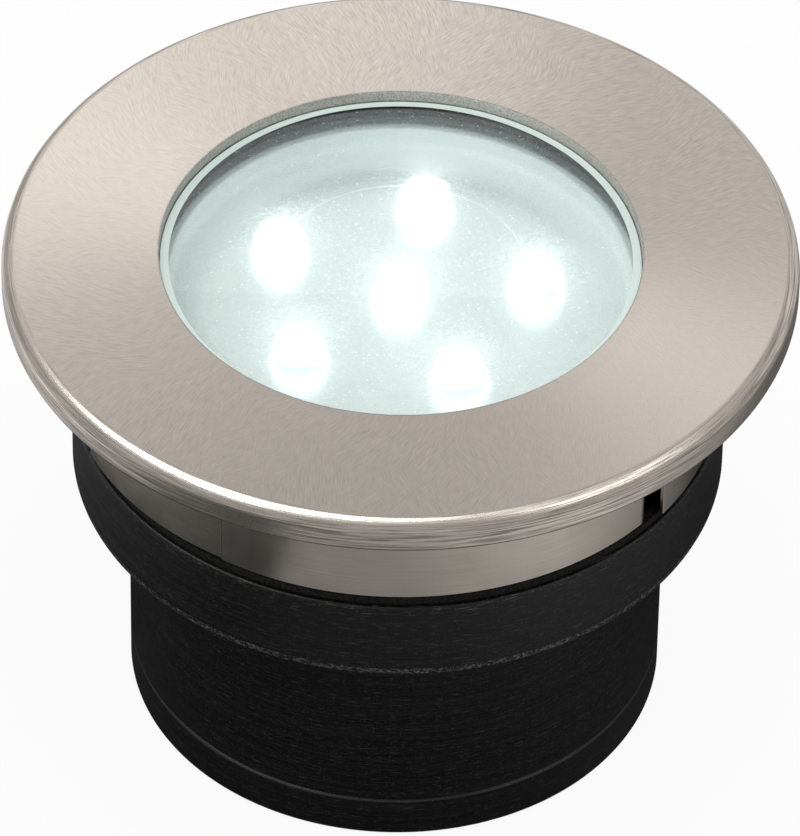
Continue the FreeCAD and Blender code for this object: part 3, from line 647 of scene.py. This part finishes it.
def upright_sheet(name, path, heights):
    """A thin upright sheet drawn along a path in plan, with level lines at these heights."""
    deselect()
    bpy.ops.mesh.primitive_grid_add(x_subdivisions=1, y_subdivisions=len(heights) - 1, size=MM)
    sheet = named(name)
    columns = sorted(sheet.data.vertices, key=lambda v: (round(v.co.x, 7), v.co.y))
    for index, vertex in enumerate(columns):
        column, row = divmod(index, len(heights))
        vertex.co = (path[column].x, path[column].y, heights[row])
    return draw_on(sheet, path[1:], heights[-1])


def draw_on(sheet, path, top):
    """Draw the sheet's end further along a path, up to a height."""
    activate(sheet)
    bpy.ops.object.mode_set(mode='EDIT')
    bpy.ops.mesh.select_mode(type='VERT')
    bpy.ops.mesh.select_all(action='DESELECT')
    bpy.ops.object.mode_set(mode='OBJECT')
    for vertex in sheet.data.vertices:
        at_end = math.dist(vertex.co.xy, path[0].xy) < 1e-6
        vertex.select = at_end and vertex.co.z < top + 1e-6
    bpy.ops.object.mode_set(mode='EDIT')
    bpy.ops.mesh.select_mode(type='EDGE')
    for here, there in zip(path, path[1:]):
        bpy.ops.mesh.extrude_region_move(TRANSFORM_OT_translate={"value": there - here})
    bpy.ops.object.mode_set(mode='OBJECT')
    return sheet


def thicken(sheet, thickness):
    """Give a sheet its thickness, half on each side."""
    activate(sheet)
    bpy.ops.object.modifier_add(type='SOLIDIFY')
    solid = sheet.modifiers[-1]
    solid.thickness = thickness
    solid.offset = 0
    solid.use_even_offset = True
    bpy.ops.object.modifier_apply(modifier=solid.name)
    bpy.ops.object.mode_set(mode='EDIT')
    close_mesh()
    return sheet


def joined(first, *others):
    """Join objects into the first one."""
    activate(first)
    for other in others:
        other.select_set(True)
    bpy.ops.object.join()
    return first


class WELLLIGHT_OT_skirt(bpy.types.Operator):
    """Sheet skirt with its three spring tongues"""
    bl_idname = "welllight.skirt"
    bl_label = "Skirt"

    def execute(self, context):
        s = context.scene.well_light_sizes
        low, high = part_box("skirt_band")
        middle = high.x - s.sheet / 2
        finish = satin_sheet(context.scene.well_light_colours.skirt[:])
        flange = lathe("skirt_band_sheet", [
            (s.recess, high.z - s.sheet), (high.x, high.z - s.sheet), (high.x, high.z),
            (s.recess, high.z)])
        soften(flange, 0.08 * MM)
        drill(flange, screw_spots(s), s.screw_way, high.z - 2 * s.sheet, high.z + s.sheet)
        tongue_low, tongue_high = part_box("spring_tongue_1")[0].z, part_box("spring_tongue_1")[1].z
        lip_top = low.z + s.lip_height
        walls = []
        for index, root in enumerate(s.tongue_roots, 1):
            end = root + 120 - s.window
            wall = upright_sheet(f"wall_{index}", arc_path(middle, root, end),
                                 [low.z, lip_top, high.z - s.sheet / 2])
            bend = s.bend_radius - s.sheet / 2
            centre = Vector((*spot(high.x - s.bend_radius, end), 0))
            lip = [centre + Vector((*spot(bend, end + 9 * step), 0)) for step in range(11)]
            lip.append(lip[-1] - Vector((*spot(s.bend_leg, end), 0)))
            draw_on(wall, lip, lip_top)
            walls.append(soften(thicken(wall, s.sheet), 0.08 * MM))
        band = joined(flange, *walls)
        wear(band, finish)
        hand_over(band, "lamp", "skirt_steel", "skirt_band")
        for index, root in enumerate(s.tongue_roots, 1):
            hinge = Vector((*spot(middle, root - s.root_gap), 0))
            swing = Matrix.Rotation(math.radians(s.flare), 3, 'Z')
            strip = [hinge + swing @ (point - hinge)
                     for point in arc_path(middle, root - 0.05, root - s.root_gap - s.reach)]
            tongue = upright_sheet(f"tongue_sheet_{index}", strip, [tongue_low, tongue_high])
            soften(thicken(tongue, s.sheet), 0.1 * MM)
            wear(tongue, finish)
            hand_over(tongue, f"tongue_{index}", "skirt_steel", f"spring_tongue_{index}")
        return {'FINISHED'}


class WELLLIGHT_OT_pot(bpy.types.Operator):
    """Collar and tube of the mounting pot, its foot and the foam on its collar"""
    bl_idname = "welllight.pot"
    bl_label = "Pot"

    def execute(self, context):
        s = context.scene.well_light_sizes
        c = context.scene.well_light_colours
        plastic = scuffed_plastic(c.pot[:], s.collar_foot)
        low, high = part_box("mounting_pot")
        collar, bottom, top = high.x, low.z, high.z
        step = s.collar_foot
        corner = 0.4 * MM
        inner = s.tube - s.pot_wall
        outline = [(inner, bottom), (s.tube - corner, bottom), (s.tube, bottom + corner),
                   (s.tube, step)]
        outline += arc(collar - s.collar_round, step + s.collar_round, s.collar_round, -90, 0, 6)
        outline += arc(collar - corner, top - corner, corner, 0, 90, 4)
        outline += [(s.collar_inner, top), (s.collar_inner, step + s.pot_wall),
                    (inner, step + s.pot_wall)]
        pot = lathe("pot_body", outline)
        soften(pot, 0.1 * MM, 40)
        wear(pot, plastic)
        hand_over(pot, "pot", "pot_plastic", "mounting_pot")
        foot_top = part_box("base_cap")[1].z
        spigot = inner - 0.1 * MM
        cable_hole, floor, foot_round = 9 * MM, 3 * MM, 0.8 * MM
        cap = [(cable_hole, 0), *arc(s.tube - foot_round, foot_round, foot_round, -90, 0, 5),
               (s.tube, bottom - corner), (s.tube - corner, bottom), (spigot, bottom),
               (spigot, foot_top), (spigot - 2 * MM, foot_top), (spigot - 2 * MM, floor),
               (cable_hole, floor)]
        foot = lathe("pot_foot", cap)
        soften(foot, 0.1 * MM, 40)
        drains = [spot(22 * MM, 60 * index) for index in range(6)]
        drill(foot, drains, 2.5 * MM, -1 * MM, floor + 1 * MM)
        wear(foot, plastic)
        hand_over(foot, "pot", "pot_plastic", "base_cap")
        seal_low, seal_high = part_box("collar_seal")
        inside = s.collar_inner + 0.3 * MM
        foam = lathe("foam_seal", [(inside, seal_low.z), (seal_high.x, seal_low.z),
                                   (seal_high.x, seal_high.z), (inside, seal_high.z)])
        soften(foam, 0.2 * MM)
        wear(foam, closed_cell_foam(c.foam[:]))
        hand_over(foam, "pot", "foam", "collar_seal")
        return {'FINISHED'}


class WELLLIGHT_OT_lights(bpy.types.Operator):
    """Satin plate and the six lit domes"""
    bl_idname = "welllight.lights"
    bl_label = "LEDs"

    def execute(self, context):
        s = context.scene.well_light_sizes
        c = context.scene.well_light_colours
        low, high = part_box("reflector_plate")
        radius, under, rim_top = high.x, low.z, high.z
        thickness, bend = 1 * MM, 0.9 * MM
        face = under + thickness
        inside = radius - thickness
        outline = [*arc(radius - bend, under + bend, bend, -90, 0, 5), (radius, rim_top),
                   (inside, rim_top), *arc(inside - bend, face + bend, bend, 0, -90, 5)]
        plate = lathe("satin_plate", outline, solid_core=True)
        centres = []
        for index in range(1, 7):
            dome_low, dome_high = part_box(f"led_{index}")
            centres.append(((dome_low.x + dome_high.x) / 2, (dome_low.y + dome_high.y) / 2))
        drill(plate, centres, 3.9 * MM, under - 1 * MM, face + 1 * MM)
        soften(plate, 0.08 * MM)
        wear(plate, satin_plate(c.plate[:]))
        hand_over(plate, "lamp", "reflector_aluminium", "reflector_plate")
        glow = glowing_dome(c.glow[:])
        board, top = (corner.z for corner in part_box("led_1"))
        flange, body = 4.2 * MM, 3.6 * MM
        dome = [(flange, board), (flange, board + 1 * MM), (body, board + 1 * MM),
                *arc(body - s.dome_round, top - s.dome_round, s.dome_round, 0, 84, 12)]
        for index, (across, deep) in enumerate(centres, 1):
            lens = lathe(f"lit_dome_{index}", dome, solid_core=True, around=48)
            bpy.ops.transform.translate(value=(across, deep, 0))
            bpy.ops.object.transform_apply(location=True)
            soften(lens, 0.1 * MM)
            wear(lens, glow)
            hand_over(lens, "lamp", "led_lens", f"led_{index}")
        return {'FINISHED'}


class WELLLIGHT_OT_inside(bpy.types.Operator):
    """Finishes for the housing, the boards and the cable gland"""
    bl_idname = "welllight.inside"
    bl_label = "Inside"

    def execute(self, context):
        finish_hidden_nodes()
        return {'FINISHED'}


def place_camera():
    """The photograph's view, fitted to its circles: a long lens from 42 degrees up."""
    rim_top = Vector((0, 0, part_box("front_ring")[1].z))
    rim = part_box("front_ring")[1].x
    elevation = math.radians(41.79)
    away = 22.196 * rim
    seat = rim_top + Vector((0, -away * math.cos(elevation), away * math.sin(elevation)))
    target = rim_top + Vector((0.005 * rim, 0, -0.574 * rim))
    forward = (target - seat).normalized()
    right = forward.cross(Vector((0, 0, 1))).normalized()
    up = right.cross(forward)
    roll = math.radians(1.0)
    leaning = right * math.cos(roll) + up * math.sin(roll)
    upright = up * math.cos(roll) - right * math.sin(roll)
    bpy.ops.object.camera_add()
    camera = bpy.context.object
    turn = Matrix((leaning, upright, -forward)).transposed()
    camera.matrix_world = Matrix.Translation(seat) @ turn.to_4x4()
    camera.data.lens = 382
    camera.data.sensor_width = 36
    camera.data.clip_end = 20
    bpy.context.scene.camera = camera


def soft_lamp(name, place, size, power):
    """A square area lamp that faces the light and doesn't show through its window."""
    target = Vector((0, 0, 50 * MM))
    bpy.ops.object.light_add(type='AREA', location=place)
    lamp = bpy.context.object
    lamp.name = name
    lamp.data.size = size
    lamp.data.energy = power
    lamp.rotation_euler = (target - Vector(place)).to_track_quat('-Z', 'Y').to_euler()
    lamp.visible_transmission = False
    return lamp


def white_world():
    """Even soft light, plain white to the eye, and dimmer in front where the steel mirrors it."""
    world = bpy.data.worlds.new("studio")
    bpy.context.scene.world = world
    world.use_nodes = True
    tree = world.node_tree
    tree.nodes.clear()
    path = add(tree, "ShaderNodeLightPath")
    direction = add(tree, "ShaderNodeTexCoord").outputs["Generated"]
    axes = add(tree, "ShaderNodeSeparateXYZ", {0: direction})
    above_and_behind = combine(tree, 'MULTIPLY_ADD', axes.outputs[1], 0.5, axes.outputs[2])
    mirrored = spread(tree, above_and_behind, 0.5, 0.95, 0.45, 1.0)
    plain = spread(tree, path.outputs["Is Camera Ray"], 0, 1, 0.5, 1.0)
    through_glass = spread(tree, path.outputs["Is Transmission Ray"], 0, 1, 1.0, 1.2)
    strength = combine(tree, 'MULTIPLY', mix(tree, path.outputs["Is Glossy Ray"], plain, mirrored),
                       through_glass)
    back = add(tree, "ShaderNodeBackground", {"Color": (1, 1, 1, 1), "Strength": strength})
    add(tree, "ShaderNodeOutputWorld", {"Surface": back.outputs[0]})


def white_floor():
    """Pale paper: white to the eye, with the object's faint shadow."""
    material, tree, shader = surface("white_paper", Roughness=0.9, Base_Color=colour("#F4F4F4"))
    rays = add(tree, "ShaderNodeLightPath").outputs
    seen = combine(tree, 'MAXIMUM', rays["Is Camera Ray"], rays["Is Transmission Ray"])
    seen = combine(tree, 'MAXIMUM', seen, rays["Is Glossy Ray"])
    share = spread(tree, seen, 0, 1, 0.0, 0.93)
    strength = spread(tree, rays["Is Glossy Ray"], 0, 1, 1.0, 0.45)
    light = add(tree, "ShaderNodeEmission", {"Color": (1, 1, 1, 1), "Strength": strength})
    show(tree, add(tree, "ShaderNodeMixShader", {0: share, 1: shader.outputs[0],
                                                 2: light.outputs[0]}))
    return material


def glowing(name):
    """A material that only shines, with its tree and its emission node."""
    material = bpy.data.materials.new(name)
    material.use_nodes = True
    tree = material.node_tree
    tree.nodes.clear()
    glow = add(tree, "ShaderNodeEmission")
    add(tree, "ShaderNodeOutputMaterial", {"Surface": glow.outputs[0]})
    return material, tree, glow


def grey_card(name, hex_code, strength=1.0):
    """An even glow of one grey."""
    material, _, glow = glowing(name)
    glow.inputs["Color"].default_value = colour(hex_code)
    glow.inputs["Strength"].default_value = strength
    return material


def by_direction(tree, place, side, first, last, low, high):
    """Brightness that changes with the direction: from one azimuth to another in degrees, counted
    from the right for side 1 and from the left for side -1."""
    turned = add(tree, "ShaderNodeVectorMath", {0: place, 1: (side, side, 1)},
                 operation='MULTIPLY').outputs[0]
    ends = add(tree, "ShaderNodeSeparateXYZ", {0: turned})
    azimuth = combine(tree, 'ARCTAN2', ends.outputs[1], ends.outputs[0])
    return spread(tree, azimuth, math.radians(first), math.radians(last), low, high)


def floor_shade(name):
    """Painted shadow on the paper round the light as its polished sides mirror it: dark at the
    foot, grey further out, painted shade on the near left and painted light on the far left."""
    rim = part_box("front_ring")[1].x
    material, tree, glow = glowing(name)
    place = add(tree, "ShaderNodeTexCoord").outputs["Object"]
    across = add(tree, "ShaderNodeSeparateXYZ", {0: place}).outputs[0]
    out = add(tree, "ShaderNodeVectorMath", {0: place}, operation='LENGTH').outputs["Value"]
    # Painted shadow round the foot and on the near left, painted light on the far left.
    right = combine(tree, 'MINIMUM', by_direction(tree, place, 1, -90, -42, 0.36, 0.68),
                    by_direction(tree, place, 1, -42, 12, 0.68, 0.14))
    right = combine(tree, 'MULTIPLY', right, spread(tree, out, 80 * MM, 98 * MM, 0.15, 1.0))
    left = combine(tree, 'MULTIPLY', by_direction(tree, place, -1, 0, 36, 0.9, 0.21),
                   by_direction(tree, place, -1, 38, 52, 1.0, 0.35))
    left = mix(tree, spread(tree, out, 100 * MM, 116 * MM), 0.05, left)
    on_left = spread(tree, across, 2 * MM - rim, -rim)
    tree.links.new(mix(tree, on_left, right, left), glow.inputs["Strength"])
    return material


def card(name, material, place, size, turn=(0, 0, 0)):
    """A flat card that only gloss sees: it gives the metal a tone of its own to mirror."""
    deselect()
    bpy.ops.mesh.primitive_plane_add(size=1, location=place, rotation=turn)
    piece = bpy.context.object
    piece.scale = (*size, 1)
    piece = named(name)
    wear(piece, material)
    piece.visible_camera = False
    piece.visible_diffuse = False
    piece.visible_transmission = False
    piece.visible_shadow = False


class WELLLIGHT_OT_studio(bpy.types.Operator):
    """Camera, floor, world and lamps"""
    bl_idname = "welllight.studio"
    bl_label = "Studio"

    def execute(self, context):
        place_camera()
        white_world()
        deselect()
        bpy.ops.mesh.primitive_circle_add(vertices=64, radius=4.0, location=(0, 0, -0.2 * MM),
                                          fill_type='NGON')
        floor = named("paper_floor")
        wear(floor, white_floor())
        card("shaded_floor", floor_shade("shaded_floor"), (0, 0, 0.6 * MM), (0.44, 0.44))
        upright = (math.radians(90), 0, 0)
        card("grey_back", grey_card("grey_back", "#B8B8B8"), (0, 0.12, 0.495), (1.2, 0.61), upright)
        card("grey_back_right", grey_card("grey_back_right", "#DADADA"), (0.32, 0.119, 0.095),
             (0.6, 0.19), upright)
        facing_left = Vector((-0.62, 0.36, -0.52)).to_track_quat('Z', 'Y').to_euler()
        card("bright_right", grey_card("bright_right", "#FFFFFF", 2.4), (0.62, -0.36, 0.59),
             (0.5, 0.5), facing_left)
        top_lamp = soft_lamp("top_lamp", (0, -0.1, 0.9), 0.6, 4.0)
        top_lamp.visible_glossy = False
        left_lamp = soft_lamp("left_lamp", (-0.41, -0.12, 0.91), 0.8, 13.0)
        left_lamp.visible_diffuse = False
        context.scene.view_settings.view_transform = 'Standard'
        return {'FINISHED'}


class WELLLIGHT_PT_pieces(bpy.types.Panel):
    """The light's pieces, sizes and colours"""
    bl_label = "Well Light"
    bl_space_type = 'VIEW_3D'
    bl_region_type = 'UI'
    bl_category = "Well Light"

    def draw(self, context):
        for operator in OPERATORS:
            self.layout.operator(operator.bl_idname)
        for group in (context.scene.well_light_sizes, context.scene.well_light_colours):
            for name in group.__annotations__:
                self.layout.prop(group, name)


OPERATORS = (WELLLIGHT_OT_studio, WELLLIGHT_OT_ring, WELLLIGHT_OT_pane, WELLLIGHT_OT_lights,
             WELLLIGHT_OT_skirt, WELLLIGHT_OT_pot, WELLLIGHT_OT_inside)
CLASSES = (WellLightSizes, WellLightColours, *OPERATORS, WELLLIGHT_PT_pieces)


def register():
    for item in CLASSES:
        bpy.utils.register_class(item)
    bpy.types.Scene.well_light_sizes = bpy.props.PointerProperty(type=WellLightSizes)
    bpy.types.Scene.well_light_colours = bpy.props.PointerProperty(type=WellLightColours)


def unregister():
    del bpy.types.Scene.well_light_colours
    del bpy.types.Scene.well_light_sizes
    for item in reversed(CLASSES):
        bpy.utils.unregister_class(item)


def main():
    """Build the light and its studio."""
    register()
    bpy.ops.welllight.studio()
    bpy.ops.welllight.ring()
    bpy.ops.welllight.pane()
    bpy.ops.welllight.lights()
    bpy.ops.welllight.skirt()
    bpy.ops.welllight.pot()
    bpy.ops.welllight.inside()


if __name__ == "__main__":
    main()
